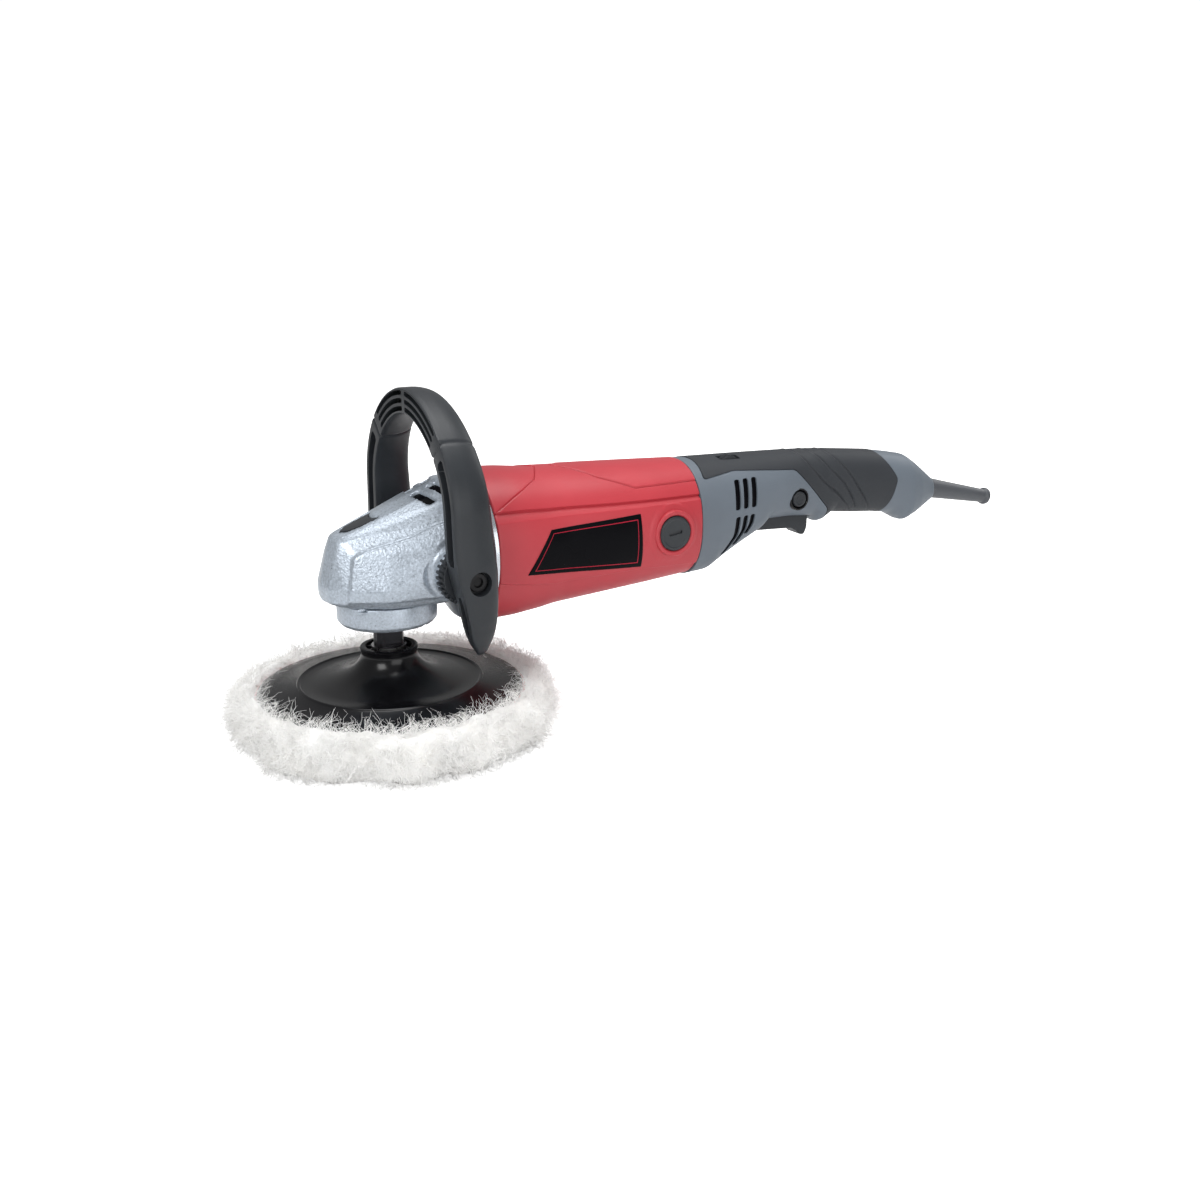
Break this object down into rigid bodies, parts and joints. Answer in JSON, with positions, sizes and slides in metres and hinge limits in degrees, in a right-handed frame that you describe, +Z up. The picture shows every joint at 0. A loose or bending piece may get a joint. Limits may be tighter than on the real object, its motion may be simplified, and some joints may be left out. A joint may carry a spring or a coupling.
{
  "type": "rotary polisher",
  "caption": "Rotary polisher with a round wool bonnet on a backing pad, bevel gear head, loop handle, round motor housing and long rear handle with a trigger.",
  "frame": {"origin": "centre of the wool bonnet's flat working face, on the spindle axis", "axes": "+X along the motor axis towards the cord end, +Z up along the spindle axis away from the work, -Y on the side with the lock-on button and speed wheel"},
  "size_m": [0.6428, 0.22, 0.2337],
  "materials": {
    "hammered_paint": "hammered silver paint",
    "bright_steel": "ground",
    "dark_steel": "blackened",
    "machined_alloy": "machined",
    "brass": "plain",
    "copper": "enamelled copper wire and bars",
    "laminate": "varnished laminate",
    "carbon": "pressed carbon",
    "red_plastic": "satin red moulding",
    "grey_plastic": "fine textured blue-grey moulding",
    "charcoal_plastic": "satin charcoal moulding",
    "soft_grip": "matt overmoulded elastomer",
    "gloss_black": "polished black moulding",
    "badge": "black plate with a thin red border, no lettering",
    "red_hook": "red hook-and-loop layer",
    "wool": "long curly off-white wool",
    "guard_rubber": "satin rubber"
  },
  "bodies": {
    "body": {"gear_housing": "hammered_paint", "bearing_cover": "hammered_paint", "cover_screw_1": "bright_steel", "cover_screw_2": "bright_steel", "cover_screw_3": "bright_steel", "housing_screw_1": "bright_steel", "housing_screw_2": "bright_steel", "housing_screw_3": "bright_steel", "housing_screw_4": "bright_steel", "spindle_bearing": "bright_steel", "front_bearing": "bright_steel", "rear_bearing": "bright_steel", "trigger_pin": "bright_steel", "trigger_spring": "bright_steel", "spindle_lock_spring": "bright_steel", "handle_screw_1": "bright_steel", "handle_screw_2": "bright_steel", "clamp_screw_1": "bright_steel", "clamp_screw_2": "bright_steel", "loop_bolt_left": "dark_steel", "loop_bolt_right": "dark_steel", "bearing_plate": "machined_alloy", "cord_clamp": "machined_alloy", "spindle_bush": "brass", "brush_holder_left": "brass", "brush_holder_right": "brass", "field_coil_upper": "copper", "field_coil_lower": "copper", "stator_core": "laminate", "motor_housing": "red_plastic", "handle_shell_left": "grey_plastic", "handle_shell_right": "grey_plastic", "loop_spacer_left": "charcoal_plastic", "loop_spacer_right": "charcoal_plastic", "brush_cap_left": "charcoal_plastic", "brush_cap_right": "charcoal_plastic", "switch_body": "charcoal_plastic", "soft_grip_left": "soft_grip", "soft_grip_right": "soft_grip", "badge_left": "badge", "badge_right": "badge", "cord_guard": "guard_rubber"},
    "pad": {"spindle": "dark_steel", "crown_gear": "bright_steel", "backing_pad": "gloss_black", "pad_insert": "bright_steel", "hook_layer": "red_hook", "wool_bonnet": "wool"},
    "armature": {"armature_shaft": "bright_steel", "armature_core": "laminate", "commutator": "copper", "cooling_fan": "charcoal_plastic", "pinion_gear": "bright_steel"},
    "loop": {"loop_handle": "charcoal_plastic"},
    "trigger": {"trigger": "charcoal_plastic"},
    "lock_on": {"lock_on_button": "charcoal_plastic"},
    "speed_wheel": {"speed_dial": "charcoal_plastic"},
    "spindle_lock": {"spindle_lock_button": "charcoal_plastic"},
    "brush_left": {"carbon_brush_left": "carbon"},
    "brush_right": {"carbon_brush_right": "carbon"}
  },
  "joints": [
    {"name": "pad_spin", "type": "hinge", "parent": "body", "child": "pad", "pos_m": [0, 0, 0], "axis": [0, 0, 1], "continuous": true},
    {"name": "armature_spin", "type": "hinge", "parent": "body", "child": "armature", "pos_m": [0.1, 0, 0.124], "axis": [1, 0, 0], "continuous": true},
    {"name": "loop_tilt", "type": "hinge", "parent": "body", "child": "loop", "pos_m": [0.034, 0, 0.1192], "axis": [0, 1, 0], "range_deg": [-20, 20]},
    {"name": "trigger_pull", "type": "hinge", "parent": "body", "child": "trigger", "pos_m": [0.301, 0, 0.1235], "axis": [0, -1, 0], "range_deg": [0, 7], "stiffness_Nm_per_rad": 1.2, "springref_deg": -5.73, "deforming": ["trigger_spring"]},
    {"name": "lock_on_press", "type": "slide", "parent": "body", "child": "lock_on", "axis": [0, 1, 0], "range_m": [0, 0.003], "stiffness_N_per_m": 400, "springref_m": -0.002},
    {"name": "speed_set", "type": "hinge", "parent": "body", "child": "speed_wheel", "pos_m": [0.266, -0.008, 0.1588], "axis": [0, 1, 0], "range_deg": [0, 270]},
    {"name": "spindle_lock_press", "type": "slide", "parent": "body", "child": "spindle_lock", "axis": [0, 0, -1], "range_m": [0, 0.004], "stiffness_N_per_m": 1200, "springref_m": -0.002, "deforming": ["spindle_lock_spring"]},
    {"name": "brush_feed_left", "type": "slide", "parent": "body", "child": "brush_left", "axis": [0, -1, 0], "range_m": [0, 0.006], "stiffness_N_per_m": 80, "springref_m": -0.02},
    {"name": "brush_feed_right", "type": "slide", "parent": "body", "child": "brush_right", "axis": [0, 1, 0], "range_m": [0, 0.006], "stiffness_N_per_m": 80, "springref_m": -0.02}
  ],
  "couplings": [
    {"joint": "armature_spin", "follows": "pad_spin", "ratio": 4}
  ]
}
